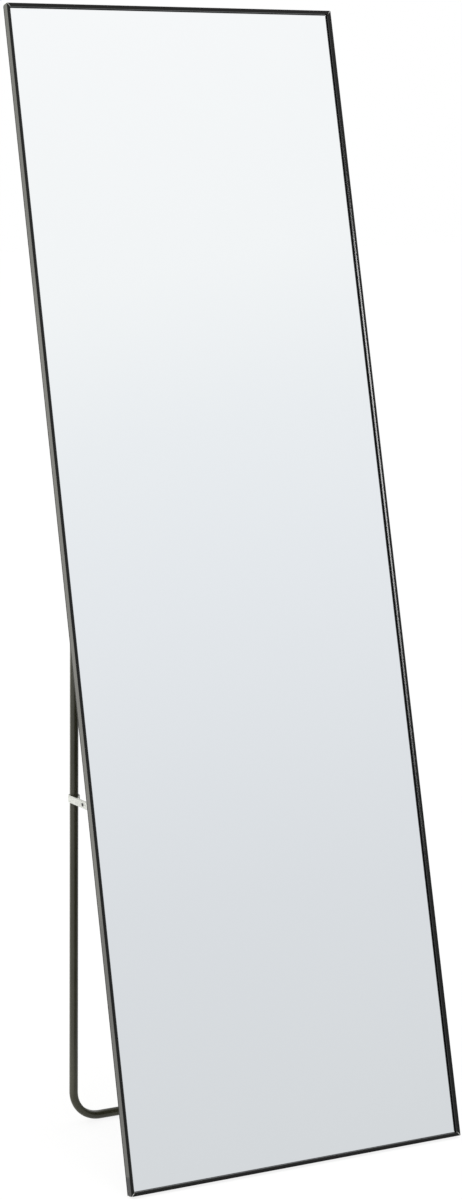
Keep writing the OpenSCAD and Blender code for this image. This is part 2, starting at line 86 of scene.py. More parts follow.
camera_data = bpy.data.cameras.new("studio_camera")
camera = bpy.data.objects.new("studio_camera", camera_data)
bpy.context.scene.collection.objects.link(camera)
camera_data.sensor_width = 36
camera_data.lens = FOCAL_PIXELS / IMAGE_LONG_SIDE * camera_data.sensor_width
camera_data.shift_x = CROP_RIGHT / IMAGE_LONG_SIDE
camera_data.shift_y = CROP_UP / IMAGE_LONG_SIDE
camera_data.clip_start, camera_data.clip_end = 0.05, 200
looking = Vector((
    -math.sin(AZIMUTH) * math.cos(PITCH), math.cos(AZIMUTH) * math.cos(PITCH), -math.sin(PITCH)))
camera.location = CAMERA_PLACE
camera.rotation_mode = "QUATERNION"
camera.rotation_quaternion = looking.to_track_quat("-Z", "Y")
bpy.context.scene.camera = camera
print("lens", round(camera_data.lens, 2), "mm")

# %% [markdown]
# ## Node trees
# Every material and every Geometry Nodes tree here is built in code. One short helper adds a node,
# sets its options, and fills or links its inputs, so that a tree reads from top to bottom.

# %% A helper that adds a node
def add(tree, kind, inputs=None, **options):
    """Adds a node to a tree. An input that is given a socket is linked, and any other is set."""
    node = tree.nodes.new(kind)
    for option, value in options.items():
        setattr(node, option, value)
    for socket, value in (inputs or {}).items():
        if isinstance(value, bpy.types.NodeSocket):
            tree.links.new(value, node.inputs[socket])
        else:
            node.inputs[socket].default_value = value
    return node


# %% [markdown]
# ## The studio
# The object stood in a white cove that was lit all round. For soft light the world is an even
# white. The camera sees plain white behind the object. What the tall glass shows is the far side
# of the studio, which fades from light grey near the floor to white above. So rays that come off
# metal or through glass get that fade from the height of their direction.

# %% The world
WORLD_LIGHT = 0.82
world = bpy.data.worlds.new("white_cove")
bpy.context.scene.world = world
world.use_nodes = True
sky = world.node_tree
sky.nodes.clear()
direction = add(sky, "ShaderNodeTexCoord")
height = add(sky, "ShaderNodeSeparateXYZ", {"Vector": direction.outputs["Generated"]})
fade = add(sky, "ShaderNodeValToRGB", {"Fac": height.outputs["Z"]})
stops = fade.color_ramp.elements
stops[0].position, stops[0].color = 0.06, (0.7, 0.718, 0.733, 1)
stops[1].position, stops[1].color = 0.5, (1, 1, 1, 1)
for position, red, green, blue in ((0.17, 0.75, 0.769, 0.792), (0.28, 0.832, 0.852, 0.876),
                                   (0.335, 0.878, 0.897, 0.913), (0.39, 0.95, 0.96, 0.962)):
    stops.new(position).color = (red, green, blue, 1)
ray = add(sky, "ShaderNodeLightPath")
soft_light = add(sky, "ShaderNodeBackground", {"Color": (1, 1, 1, 1), "Strength": WORLD_LIGHT})
mirrored = add(sky, "ShaderNodeBackground", {"Color": fade.outputs["Color"], "Strength": 1.0})
seen = add(sky, "ShaderNodeBackground", {"Color": (1, 1, 1, 1), "Strength": 1.0})
clear = add(sky, "ShaderNodeMath", {
    0: ray.outputs["Is Glossy Ray"], 1: ray.outputs["Is Transmission Ray"]}, operation="MAXIMUM")
shiny = add(sky, "ShaderNodeMixShader", {
    0: clear.outputs[0], 1: soft_light.outputs[0], 2: mirrored.outputs[0]})
whole = add(sky, "ShaderNodeMixShader", {
    0: ray.outputs["Is Camera Ray"], 1: shiny.outputs[0], 2: seen.outputs[0]})
add(sky, "ShaderNodeOutputWorld", {"Surface": whole.outputs[0]})
print("world", world.name)

# %% [markdown]
# ## Floor and lamps
# The floor is white paint. Most of what the camera sees of it is plain white, and the rest is
# real shading, so a faint shadow still ties the frame and the leg to the ground. Four soft lamps
# model the dark metal. A tall one at the front left draws the light line along the bevel. A
# faintly warm one at the back left lights the side of the frame and the tube. A large one hangs
# above. The last lies on the floor and faces up, and lights the foot of the frame's side. The first
# and the last work only by reflection, so they put no light of their own on matt surfaces.

# %% Lay the floor
FLOOR_SHADE, FLOOR_GLOW = 0.2, 1.07
floor_paint = bpy.data.materials.new("floor_paint")
floor_paint.use_nodes = True
paint = floor_paint.node_tree
paint.nodes.clear()
matt = add(paint, "ShaderNodeBsdfDiffuse", {"Color": (0.92, 0.92, 0.92, 1)})
glow = add(paint, "ShaderNodeEmission", {"Color": (1, 1, 1, 1), "Strength": FLOOR_GLOW})
shaded = add(paint, "ShaderNodeMixShader", {0: FLOOR_SHADE, 1: glow.outputs[0], 2: matt.outputs[0]})
path = add(paint, "ShaderNodeLightPath")
eye = add(paint, "ShaderNodeMath", {
    0: path.outputs["Is Camera Ray"], 1: path.outputs["Is Glossy Ray"]}, operation="MAXIMUM")
eye_or_glass = add(paint, "ShaderNodeMath", {
    0: eye.outputs[0], 1: path.outputs["Is Transmission Ray"]}, operation="MAXIMUM")
painted = add(paint, "ShaderNodeMixShader", {
    0: eye_or_glass.outputs[0], 1: matt.outputs[0], 2: shaded.outputs[0]})
add(paint, "ShaderNodeOutputMaterial", {"Surface": painted.outputs[0]})

FLOOR_HALF = 30
FLOOR_DROP = 0.0002
floor_mesh = bpy.data.meshes.new("studio_floor")
corners = ((-1, -1), (1, -1), (1, 1), (-1, 1))
floor_mesh.from_pydata(
    [(x * FLOOR_HALF, y * FLOOR_HALF, -FLOOR_DROP) for x, y in corners], [], [(0, 1, 2, 3)])
floor_mesh.materials.append(floor_paint)
floor = bpy.data.objects.new("studio_floor", floor_mesh)
bpy.context.scene.collection.objects.link(floor)
print("floor", 2 * FLOOR_HALF, "m square")


# %% Hang the lamps
def soft_lamp(name, place, aim, width, height, power, colour=(1, 1, 1)):
    """A rectangular area lamp at a place, turned to a point."""
    data = bpy.data.lights.new(name, "AREA")
    data.shape = "RECTANGLE"
    data.size, data.size_y, data.energy, data.color = width, height, power, colour
    lamp = bpy.data.objects.new(name, data)
    bpy.context.scene.collection.objects.link(lamp)
    lamp.location = place
    lamp.rotation_mode = "QUATERNION"
    lamp.rotation_quaternion = (Vector(aim) - Vector(place)).to_track_quat("-Z", "Y")
    lamp.visible_camera = False
    print("lamp", name, power, "W")
    return lamp


WARM = (1, 0.99, 0.86)
bevel_lamp = soft_lamp("bevel_lamp", (-2.55, -1.44, 1.5), (0.24, 0, 0.87), 0.22, 1.45, 54)
soft_lamp("side_lamp", (-0.72, 0.95, 0.87), (-0.25, 0, 0.87), 0.7, 1.7, 5.2, WARM)
soft_lamp("top_lamp", (0.4, -1.2, 4.2), (0, 0, 0.8), 2.5, 2.5, 30)
# The aim of the lamp on the floor is far above. It only turns the lamp's long side.
floor_lamp = soft_lamp(
    "floor_lamp", (-0.54, 0.425, 0.004), (-0.88, 1.365, 1000), 0.26, 1.25, 0.8, WARM)
for lamp in (bevel_lamp, floor_lamp):
    lamp.visible_diffuse = False
bpy.context.scene.view_settings.view_transform = "Standard"

# %% [markdown]
# ## Finishes
# Each finish is one Principled shader. What is the same all over a surface is set on the shader
# itself. What varies, such as grain, comes from textures that read Object coordinates. They
# are turned back by the lean first, so that a pattern runs along the slope of the frame.

# %% Helpers for finishes
def finish(name, colour, roughness, sockets=None):
    """A new material with one Principled shader, and the plain numbers on its sockets."""
    material = bpy.data.materials.new(name)
    material.use_nodes = True
    shader = material.node_tree.nodes["Principled BSDF"]
    shader.inputs["Base Color"].default_value = (*colour, 1)
    shader.inputs["Roughness"].default_value = roughness
    for socket, value in (sockets or {}).items():
        shader.inputs[socket].default_value = value
    return material, material.node_tree, shader


def along_slope(tree, stretch):
    """Object coordinates turned back by the lean and stretched, in patterns per metre."""
    scale = stretch if isinstance(stretch, tuple) else (stretch, stretch, stretch)
    place = add(tree, "ShaderNodeTexCoord")
    upright = add(tree, "ShaderNodeMapping", {
        "Vector": place.outputs["Object"], "Rotation": (LEAN, 0, 0)})
    scaled = add(tree, "ShaderNodeMapping", {"Vector": upright.outputs[0], "Scale": scale})
    return scaled.outputs[0]


def noise(tree, stretch, detail=3.0, roughness=0.55):
    """A noise value that follows the slope."""
    return add(tree, "ShaderNodeTexNoise", {
        "Vector": along_slope(tree, stretch), "Scale": 1.0, "Detail": detail,
        "Roughness": roughness}).outputs["Fac"]


LITTLE, MUCH = 0.3, 0.7         # nearly all of a noise value lies between these


def vary_roughness(tree, shader, value, low, high):
    """Lets a noise value choose the roughness, from low to high."""
    chosen = add(tree, "ShaderNodeMapRange", {
        "Value": value, "From Min": LITTLE, "From Max": MUCH, "To Min": low, "To Max": high})
    tree.links.new(chosen.outputs[0], shader.inputs["Roughness"])


def vary_colour(tree, shader, value, dark, light):
    """Lets a noise value choose the colour, between two."""
    ramp = add(tree, "ShaderNodeValToRGB", {"Fac": value})
    for stop, position, colour in zip(ramp.color_ramp.elements, (LITTLE, MUCH), (dark, light)):
        stop.position, stop.color = position, (*colour, 1)
    tree.links.new(ramp.outputs["Color"], shader.inputs["Base Color"])


def relief(tree, shader, value, strength, depth):
    """Bumps the shader's surface by a value. The depth is in metres."""
    bump = add(tree, "ShaderNodeBump", {"Height": value, "Strength": strength, "Distance": depth})
    tree.links.new(bump.outputs[0], shader.inputs["Normal"])


def grained(name, colour, roughness, sockets, stretch, detail, rough, bump=None, shades=None):
    """A finish whose one noise varies its roughness and, where they are given, its bump and
    its colour."""
    material, tree, shader = finish(name, colour, roughness, sockets)
    value = noise(tree, stretch, detail)
    vary_roughness(tree, shader, value, *rough)
    if shades:
        vary_colour(tree, shader, value, *shades)
    if bump:
        relief(tree, shader, value, *bump)
    return material


# %% [markdown]
# ### Black anodised aluminium
# The frame is an extrusion, so the die leaves faint lines along each length. The dye is nearly
# black, and what light it shows is almost all reflection: little at a square view, and much more
# along a side that is seen at a slant. Two versions exist, for lengths up the slope and across.
# A third finish is for the cut ends, where the saw left bare aluminium.

# %% Anodised finishes
def anodised(name, stretch):
    material, tree, shader = finish(name, (0.005, 0.005, 0.0045), 0.15, {"IOR": 1.3})
    lines = noise(tree, stretch, detail=4)
    relief(tree, shader, lines, 0.2, 0.02 * MM)
    vary_roughness(tree, shader, noise(tree, 9), 0.125, 0.175)
    vary_colour(tree, shader, lines, (0.004, 0.004, 0.0036), (0.0065, 0.0065, 0.0055))
    return material


anodised_up = anodised("anodised_up", (2600, 2600, 9))
anodised_across = anodised("anodised_across", (9, 2600, 2600))
cut_aluminium = grained("cut_aluminium", (0.72, 0.72, 0.7), 0.35, {"Metallic": 1.0},
                        1800, 3, (0.28, 0.5), (0.3, 0.02 * MM))
print("finishes", anodised_up.name, anodised_across.name, cut_aluminium.name)

# %% [markdown]
# ### Silvered glass
# A mirror is a sheet of glass with silver on its back. The silver is a metal with no roughness at
# all. The glass in front of it takes a little red out of the light, and the silver's own colour
# stands for that here, which gives the cool grey of the real one.

# %% Silver
silver, tree, shader = finish("silver", (0.93, 0.945, 0.955), 0.0, {"Metallic": 1.0})
haze = noise(tree, 3, detail=5)
vary_colour(tree, shader, haze, (0.926, 0.942, 0.953), (0.934, 0.948, 0.957))
print("finish", silver.name)

# %% [markdown]
# ### Powder coat, oxide, zinc and plastic
# The leg and the brackets are powder coated: a thick dark paint with the fine ripple of an orange
# peel. The screws are blackened, the bolts and hangers are zinc plated, and the plugs are plastic.

# %% Finishes of the fittings
powder_coat, tree, shader = finish("powder_coat", (0.0375, 0.037, 0.019), 0.34, {"IOR": 1.45})
relief(tree, shader, noise(tree, 900, detail=2), 0.35, 0.04 * MM)
cloud = noise(tree, 14)
vary_roughness(tree, shader, cloud, 0.29, 0.40)
vary_colour(tree, shader, cloud, (0.0335, 0.033, 0.0165), (0.0425, 0.042, 0.022))

black_oxide = grained("black_oxide", (0.03, 0.03, 0.032), 0.38, {"Metallic": 0.6},
                      260, 3, (0.3, 0.5), (0.2, 0.03 * MM))
zinc_plate = grained("zinc_plate", (0.62, 0.63, 0.62), 0.28, {"Metallic": 1.0},
                     140, 4, (0.22, 0.38), (0.15, 0.02 * MM),
                     ((0.56, 0.575, 0.585), (0.67, 0.67, 0.64)))
cast_zinc = grained("cast_zinc", (0.5, 0.5, 0.49), 0.5, {"Metallic": 0.9},
                    700, 4, (0.42, 0.62), (0.5, 0.06 * MM))
black_plastic = grained("black_plastic", (0.012, 0.012, 0.012), 0.45, None,
                        1500, 2, (0.4, 0.52), (0.3, 0.03 * MM))
dark_lacquer = grained("dark_lacquer", (0.014, 0.014, 0.015), 0.25, {"Metallic": 0.3},
                       400, 3, (0.2, 0.36))
print("fittings have", len(bpy.data.materials), "finishes so far")

# %% [markdown]
# ### Film, foam and board
# Behind the glass are a woven safety film, a thin sheet of foam and a back board. The board is
# pressed fibre under dark matt paper, so it has short flecks and almost no shine.

# %% Finishes of the layers
safety_weave, tree, shader = finish("safety_weave", (0.72, 0.75, 0.78), 0.5)
threads = add(tree, "ShaderNodeTexWave", {
    "Vector": along_slope(tree, 1), "Scale": 160.0, "Distortion": 0.4})
relief(tree, shader, threads.outputs["Fac"], 0.3, 0.05 * MM)

foam_cells, tree, shader = finish("foam_cells", (0.86, 0.86, 0.83), 0.85)
cells = add(tree, "ShaderNodeTexVoronoi", {"Vector": along_slope(tree, 1), "Scale": 1400.0})
relief(tree, shader, cells.outputs["Distance"], 0.6, 0.2 * MM)

board_paper, tree, shader = finish("board_paper", (0.045, 0.044, 0.042), 0.78)
flecks = noise(tree, (420, 420, 160), detail=6, roughness=0.7)
vary_colour(tree, shader, flecks, (0.034, 0.033, 0.032), (0.062, 0.061, 0.058))
vary_roughness(tree, shader, noise(tree, 30), 0.7, 0.86)
relief(tree, shader, flecks, 0.4, 0.08 * MM)
print("layers", safety_weave.name, foam_cells.name, board_paper.name)

# %% [markdown]
# ### Webbing
# Webbing is a narrow plain weave. Its ribs cross the strap, so the pattern has to follow the strap
# round the tube: it reads the piece's own UV map, which runs along and across the band in metres.
# The same wave that raises the ribs also paints the hollows between them darker: painted shade.

# %% Webbing finish
RIB, THREAD = 1.15 * MM, 0.9 * MM
woven, tree, shader = finish("woven_webbing", (0.78, 0.79, 0.76), 0.8, {
    "Sheen Weight": 0.25, "Sheen Roughness": 0.5})
own_map = add(tree, "ShaderNodeUVMap", uv_map="along_band")
band = add(tree, "ShaderNodeSeparateXYZ", {"Vector": own_map.outputs[0]})


def maths(operation, *inputs):
    """The result of one Math node of the webbing's tree."""
    return add(tree, "ShaderNodeMath", dict(enumerate(inputs)), operation=operation).outputs[0]


def swing(value, pitch):
    """A sine wave of a length in metres."""
    return maths("SINE", maths("MULTIPLY_ADD", value, 2 * math.pi / pitch, 0.0))


weft = swing(band.outputs["X"], RIB)
warp = swing(band.outputs["Y"], THREAD)
RIB_SHARE = 0.6                 # how much of the cross weave the ribs keep
ribbed = maths("MULTIPLY_ADD", maths("MULTIPLY", weft, warp), RIB_SHARE, weft)
weave_height_and_shade = add(tree, "ShaderNodeMapRange", {
    "Value": ribbed, "From Min": -1 - RIB_SHARE, "From Max": 1 + RIB_SHARE}).outputs[0]
relief(tree, shader, weave_height_and_shade, 0.55, 0.25 * MM)
# The hollows of the weave are painted darker than its ribs: painted shade, not a colour of the
# thread.
vary_colour(tree, shader, weave_height_and_shade, (0.66, 0.675, 0.63), (0.85, 0.865, 0.82))
print("webbing ribs every", RIB, "m")

# %% [markdown]
# ## Making pieces
# A finished piece is a plain mesh whose object sits at the origin. Modifiers are used on a
# throwaway object, and their result is kept as a new mesh. Weighted normals keep large flat faces
# flat next to a fine rounded edge.

# %% Helpers that finish a mesh
def throwaway(mesh):
    """An object that holds a mesh only while modifiers are used on it."""
    obj = bpy.data.objects.new("bench", mesh)
    bpy.context.scene.collection.objects.link(obj)
    return obj


def settled(obj):
    """The mesh that an object's modifiers make. The object is then removed."""
    graph = bpy.context.evaluated_depsgraph_get()
    mesh = bpy.data.meshes.new_from_object(obj.evaluated_get(graph), depsgraph=graph)
    bpy.data.objects.remove(obj)
    return mesh


def outward(mesh, merge=0.0):
    """Merges doubles, if a distance is given, and turns all faces outwards."""
    shape = bmesh.new()
    shape.from_mesh(mesh)
    if merge:
        bmesh.ops.remove_doubles(shape, verts=shape.verts, dist=merge)
    bmesh.ops.recalc_face_normals(shape, faces=shape.faces)
    shape.to_mesh(mesh)
    shape.free()
    return mesh


SHARP_EDGE, SHARP_SHADE = math.radians(35), math.radians(50)


def rounded(mesh, width, segments=2):
    """Rounds every sharp edge of a closed mesh, and keeps its flat faces flat."""
    bench = throwaway(mesh)
    edge = bench.modifiers.new("edge", "BEVEL")
    edge.width, edge.segments = width, segments
    edge.limit_method, edge.angle_limit = "ANGLE", SHARP_EDGE
    mesh = settled(bench)
    mesh.shade_smooth()
    mesh.set_sharp_from_angle(angle=SHARP_SHADE)
    bench = throwaway(mesh)
    flat = bench.modifiers.new("flat", "WEIGHTED_NORMAL")
    flat.keep_sharp = True
    return settled(bench)


def piece(name, mesh, material, body, nodes, place=None):
    """Puts a mesh in place as a piece of the object, which stands for its CAD nodes."""
    if place is not None:
        mesh.transform(place)
    bare = [face.material_index for face in mesh.polygons]
    mesh.materials.clear()
    for one in (material if isinstance(material, tuple) else (material,)):
        mesh.materials.append(one)
    if len(mesh.materials) > 1:
        mesh.polygons.foreach_set("material_index", bare)
    mesh.name = name
    obj = bpy.data.objects.new(name, mesh)
    bpy.context.scene.collection.objects.link(obj)
    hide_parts(*nodes)
    if body:
        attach(obj, body)
    print("piece", name, len(mesh.polygons), "faces")
    return obj


def mirrored_copy(mesh):
    """The other one of a pair, on the far side of the plane X = 0."""
    other = mesh.copy()
    other.transform(Matrix.Scale(-1, 4, (1, 0, 0)))
    other.flip_normals()
    return other


# %% [markdown]
# ## The frame
# The four rails come from the CAD with their true section. A saw and a deburring tool leave a
# hair's width of bevel on real edges. The lengths are cut after they are dyed, so at each mitre two
# bare bevels meet in a fine bright groove. So each rail is copied, its triangles are joined into
# whole faces, its cut ends are bevelled with bare metal, and then all its other edges are.

# %% Bevel the four rails
def whole_faces(node):
    """A copy of a CAD node's mesh with its points merged and its flat triangles joined."""
    shape = bmesh.new()
    shape.from_mesh(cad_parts[node].data)
    bmesh.ops.remove_doubles(shape, verts=shape.verts, dist=0.002 * MM)
    bmesh.ops.dissolve_limit(
        shape, angle_limit=math.radians(0.4), verts=shape.verts, edges=shape.edges)
    mesh = bpy.data.meshes.new(node)
    shape.to_mesh(mesh)
    shape.free()
    return mesh


MITRE_BEVEL, MITRE_NEAR = 0.35 * MM, 0.2 * MM


def bevel_mitres(mesh):
    """Bevels both cut ends of a rail, and gives the cuts and the bevels the second material."""
    shape = bmesh.new()
    shape.from_mesh(mesh)
    back = on_mirror.inverted()

    def off_mitre(point):
        p = back @ point
        return abs(MIRROR_W / 2 - abs(p.x) - min(p.z, MIRROR_H - p.z))

    cuts = [face for face in shape.faces if off_mitre(face.calc_center_median()) < MITRE_NEAR
            and all(off_mitre(vertex.co) < MITRE_NEAR for vertex in face.verts)]
    for face in cuts:
        face.material_index = 1
    edges = {edge for face in cuts for edge in face.edges if len(edge.link_faces) == 2}
    bmesh.ops.bevel(shape, geom=list(edges), offset=MITRE_BEVEL, segments=1, affect="EDGES",
                    material=1, clamp_overlap=True)
    shape.to_mesh(mesh)
    shape.free()
    print("cut faces", len(cuts), "edges", len(edges))
    return mesh


for side in ("left", "right", "top", "bottom"):
    rail = rounded(bevel_mitres(whole_faces("frame_" + side)), 0.12 * MM, segments=1)
    lengthways = anodised_up if side in ("left", "right") else anodised_across
    piece("rail_" + side, rail, (lengthways, cut_aluminium), "mirror",
          ["frame_" + side])

# %% [markdown]
# ## Layers behind and inside the frame
# The depth of the glass shows. Where an edge is seen at a slant, the mirror image of the lip makes
# the frame look wider than it is. Clear glass over silver would need several more bounces of each
# ray, so only the silver is drawn, at the depth where the eye sees it: light bends in glass, and
# the back of a 3 mm pane looks about 1.9 mm deep. The film, the foam, the corner keys and their
# grub screws keep their CAD shape, because thin sheets and hidden castings have nothing more to
# show. The board gets a softened edge.

# %% Set the silver at its depth
SEEN_DEPTH = 1.85 * MM
pane = whole_faces("mirror_glass")
backwards = on_mirror.to_3x3() @ Vector((0, 1, 0))
front = min(vertex.co.dot(backwards) for vertex in pane.vertices)
for vertex in pane.vertices:
    if vertex.co.dot(backwards) - front < MM:
        vertex.co += backwards * SEEN_DEPTH
piece("pane", rounded(pane, 0.1 * MM, segments=1), silver, "mirror",
      ["mirror_glass"])

# %% Dress the nodes that keep their shape
kept = {"safety_film": safety_weave, "foam_sheet": foam_cells, "corner_key_screws": black_oxide}
for corner in ("top_left", "top_right", "bottom_left", "bottom_right"):
    kept["corner_key_" + corner] = cast_zinc
for node, material in kept.items():
    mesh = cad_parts[node].data
    mesh.materials.clear()
    mesh.materials.append(material)
print("kept", len(kept), "nodes")

piece("fibre_board", rounded(whole_faces("back_board"), 0.35 * MM), board_paper, "mirror",
      ["back_board"])

# %% [markdown]
# ## The leg
# The leg is one length of 12 mm tube with two bends. A tube is a circle drawn along a path, so
# Geometry Nodes make it: the path goes in as a line of points, and a named radius gives the
# profile. The bender then squeezes the inner side of each bend a little flat, which shows in the
# photograph as a lens of light where the bend runs out. That squeeze is done on the points.

# %% A tree that draws a tube along a path
def tube_tree():
    tree = bpy.data.node_groups.new("Tube along a path", "GeometryNodeTree")
    sockets = {}
    for name, kind in (("Path", "Geometry"), ("Radius", "Float"), ("Sides", "Int"),
                       ("Finish", "Material")):
        sockets[name] = tree.interface.new_socket(
            name, in_out="INPUT", socket_type="NodeSocket" + kind).identifier
    tree.interface.new_socket("Tube", in_out="OUTPUT", socket_type="NodeSocketGeometry")
    given = add(tree, "NodeGroupInput")
    line = add(tree, "GeometryNodeMeshToCurve", {"Mesh": given.outputs["Path"]})
    circle = add(tree, "GeometryNodeCurvePrimitiveCircle", {
        "Resolution": given.outputs["Sides"], "Radius": given.outputs["Radius"]})
    skin = add(tree, "GeometryNodeCurveToMesh", {
        "Curve": line.outputs[0], "Profile Curve": circle.outputs[0]})
    real = add(tree, "GeometryNodeRealizeInstances", {"Geometry": skin.outputs[0]})
    coated = add(tree, "GeometryNodeSetMaterial", {
        "Geometry": real.outputs[0], "Material": given.outputs["Finish"]})
    add(tree, "NodeGroupOutput", {"Tube": coated.outputs[0]})
    return tree, sockets


TUBE_R, TUBE_WALL, BEND_R, TUBE_ABOVE = 6 * MM, 1.2 * MM, 40 * MM, 12 * MM
BEND_STEPS, TUBE_SIDES, NEAR_STEP, FAR_STEP = 40, 48, 5 * MM, 60 * MM
bend_z = BEND_R - LEG_LENGTH
route = [Vector((-LEG_X, 0, TUBE_ABOVE)), Vector((-LEG_X, 0, bend_z + FAR_STEP))]
route += [Vector((-LEG_X, 0, bend_z + i * NEAR_STEP)) for i in range(5, 0, -1)]
for i in range(BEND_STEPS + 1):
    a = math.pi / 2 * i / BEND_STEPS
    route.append(Vector((BEND_R - LEG_X - BEND_R * math.cos(a), 0, bend_z - BEND_R * math.sin(a))))
route += [Vector((BEND_R - LEG_X + i * NEAR_STEP, 0, -LEG_LENGTH)) for i in range(1, 6)]
route += [Vector((-p.x, p.y, p.z)) for p in reversed(route)]

line = bpy.data.meshes.new("leg_route")
line.from_pydata(route, [(i, i + 1) for i in range(len(route) - 1)], [])
bench = throwaway(line)
tube_maker = bench.modifiers.new("tube", "NODES")
tube_maker.node_group, sockets = tube_tree()
tube_maker[sockets["Radius"]] = TUBE_R
tube_maker[sockets["Sides"]] = TUBE_SIDES
tube_maker[sockets["Finish"]] = powder_coat
tube = outward(settled(bench))
length = sum((a - b).length for a, b in zip(route, route[1:]))
print("tube", round(length, 3), "m long")

# %% Squeeze the bends and give the tube its wall
SQUEEZE, SQUEEZE_REACH = 1.3 * MM, 50 * MM
bend_middle = BEND_R * math.pi / 4
for vertex in tube.vertices:
    side = -1 if vertex.co.x < 0 else 1
    x = side * vertex.co.x
    centre = Vector((LEG_X - BEND_R, bend_z))
    out = Vector((x, vertex.co.z)) - centre
    if out.x > 0 and out.y < 0:                 # round the bend
        angle = math.atan2(-out.y, out.x)
        depth, along = BEND_R - out.length, BEND_R * angle - bend_middle
        inward = Vector((-math.cos(angle), math.sin(angle)))
    elif out.y >= 0:                            # up the straight tube
        depth, along = BEND_R - out.x, -out.y - bend_middle
        inward = Vector((-1, 0))
    else:                                       # along the run on the floor
        depth, along = BEND_R + out.y, bend_middle - out.x
        inward = Vector((0, 1))
    window = max(0.0, 1 - (along / SQUEEZE_REACH) ** 2) ** 1.5
    over = depth - (TUBE_R - SQUEEZE * window)
    if over > 0:
        vertex.co.x -= side * inward.x * over
        vertex.co.z -= inward.y * over

bench = throwaway(tube)
wall = bench.modifiers.new("wall", "SOLIDIFY")
wall.thickness, wall.offset = TUBE_WALL, -1
tube = settled(bench)
tube.shade_smooth()
tube.set_sharp_from_angle(angle=math.radians(40))
piece("leg_tube", tube, powder_coat, "leg", ["leg"], on_leg)

# %% [markdown]
# ## Turned parts
# Plugs, bolts, rivets and screw heads are round about one axis. A lathe helper turns a profile of
# radius and height into a closed mesh. Its poles are single points, so nothing is left open.

# %% A lathe
def lathe(profile, sides=40):
    """Turns a profile of (radius, height) points about Z. Its first and last radius may be 0."""
    points, rings = [], []
    for radius, height in profile:
        start = len(points)
        if radius == 0:
            points.append((0, 0, height))
            rings.append([start] * sides)
            continue
        for i in range(sides):
            a = 2 * math.pi * i / sides
            points.append((radius * math.cos(a), radius * math.sin(a), height))
        rings.append(list(range(start, start + sides)))
    faces = []
    for low, high in zip(rings, rings[1:]):
        for i in range(sides):
            corners = [low[i], low[(i + 1) % sides], high[(i + 1) % sides], high[i]]
            faces.append(list(dict.fromkeys(corners)))
    mesh = bpy.data.meshes.new("turned")
    mesh.from_pydata(points, [], faces)
    return outward(mesh)


def dome(radius, base, top, steps):
    """Profile points of a domed top that falls from its middle to a radius."""
    quarter = [math.pi / 2 * i / steps for i in range(steps + 1)]
    return [(radius * math.sin(a), base + (top - base) * math.cos(a)) for a in quarter]


def smooth(mesh, angle=35):
    """Shades a mesh smooth, but for edges sharper than an angle in degrees."""
    mesh.shade_smooth()
    mesh.set_sharp_from_angle(angle=math.radians(angle))
    return mesh


# %% Plugs in the top of the tube
PLUG_CAP, PLUG_LEN, PLUG_RIBS, RIB_PITCH, PLUG_ROUND = 2 * MM, 5 * MM, 3, 1.2, 0.9 * MM
bore = TUBE_R - TUBE_WALL - 0.1 * MM
plug_profile = [(0, -PLUG_LEN), (bore - 0.9 * MM, -PLUG_LEN), (bore - 0.3 * MM, -4.2 * MM)]
for rib in range(PLUG_RIBS):
    z = (-3.9 + RIB_PITCH * rib) * MM
    plug_profile += [(bore, z), (bore, z + 0.5 * MM), (bore - 0.4 * MM, z + 0.7 * MM)]
plug_profile += [(bore - 0.4 * MM, 0), (TUBE_R - 0.05 * MM, 0), (TUBE_R, 0.2 * MM)]
plug_profile += [(TUBE_R - PLUG_ROUND * (1 - math.cos(a)), PLUG_ROUND + PLUG_ROUND * math.sin(a))
                 for a in (0, math.pi / 8, math.pi / 4, 3 * math.pi / 8)]
plug_profile += [(TUBE_R - 1.4 * MM, 1.85 * MM), (TUBE_R / 2, 1.96 * MM), (0, PLUG_CAP)]
plug = smooth(lathe(plug_profile))
for side, x in (("left", -LEG_X), ("right", LEG_X)):
    piece("tube_plug_" + side, plug.copy(), black_plastic, "leg",
          ["leg_plug_" + side], on_leg @ Matrix.Translation((x, 0, TUBE_ABOVE)))

# %% [markdown]
# ## Sheet metal
# Brackets, anchors and hangers are stamped flat and then folded. They are made the same way here:
# an outline with holes is filled, cut into strips where it will bend, wrapped along its folded
# section, and given its thickness. This leaves real bends, with a radius inside and outside.

# %% A fold: the section that a flat sheet follows
class Fold:
    """Straight runs between corners, with a bend of one radius at each corner in between."""

    def __init__(self, corners, radius):
        self.runs, self.length = [], 0.0
        points = [Vector(c) for c in corners]
        start = points[0]
        for i in range(1, len(points)):
            way = (points[i] - points[i - 1]).normalized()
            if i == len(points) - 1:
                self.add_run(start, way, (points[i] - start).length)
                break
            after = (points[i + 1] - points[i]).normalized()
            turn = way.angle_signed(after) * -1
            cut = radius * math.tan(abs(turn) / 2)
            end = points[i] - way * cut
            self.add_run(start, way, (end - start).length)
            self.add_bend(end, way, turn, radius)
            start = points[i] + after * cut

    def add_run(self, start, way, length):
        self.runs.append((self.length, length, start, way, 0.0, 0.0))
        self.length += length

    def add_bend(self, start, way, turn, radius):
        length = radius * abs(turn)
        self.runs.append((self.length, length, start, way, turn, radius))
        self.length += length

    def at(self, u):
        """The place on the section of a point that lies at u on the flat sheet."""
        for begin, length, start, way, turn, radius in self.runs:
            if u <= begin + length or begin + length >= self.length:
                part = u - begin
                if not radius:
                    return start + way * part
                sign = 1 if turn > 0 else -1
                left = Vector((-way.y, way.x)) * sign
                a = part / radius
                return start + way * radius * math.sin(a) + left * radius * (1 - math.cos(a))

    def flat(self, run, point):
        """Where a point of one straight run lies on the flat sheet."""
        begin, _, start, _, _, _ = self.runs[run]
        return begin + (Vector(point) - start).length


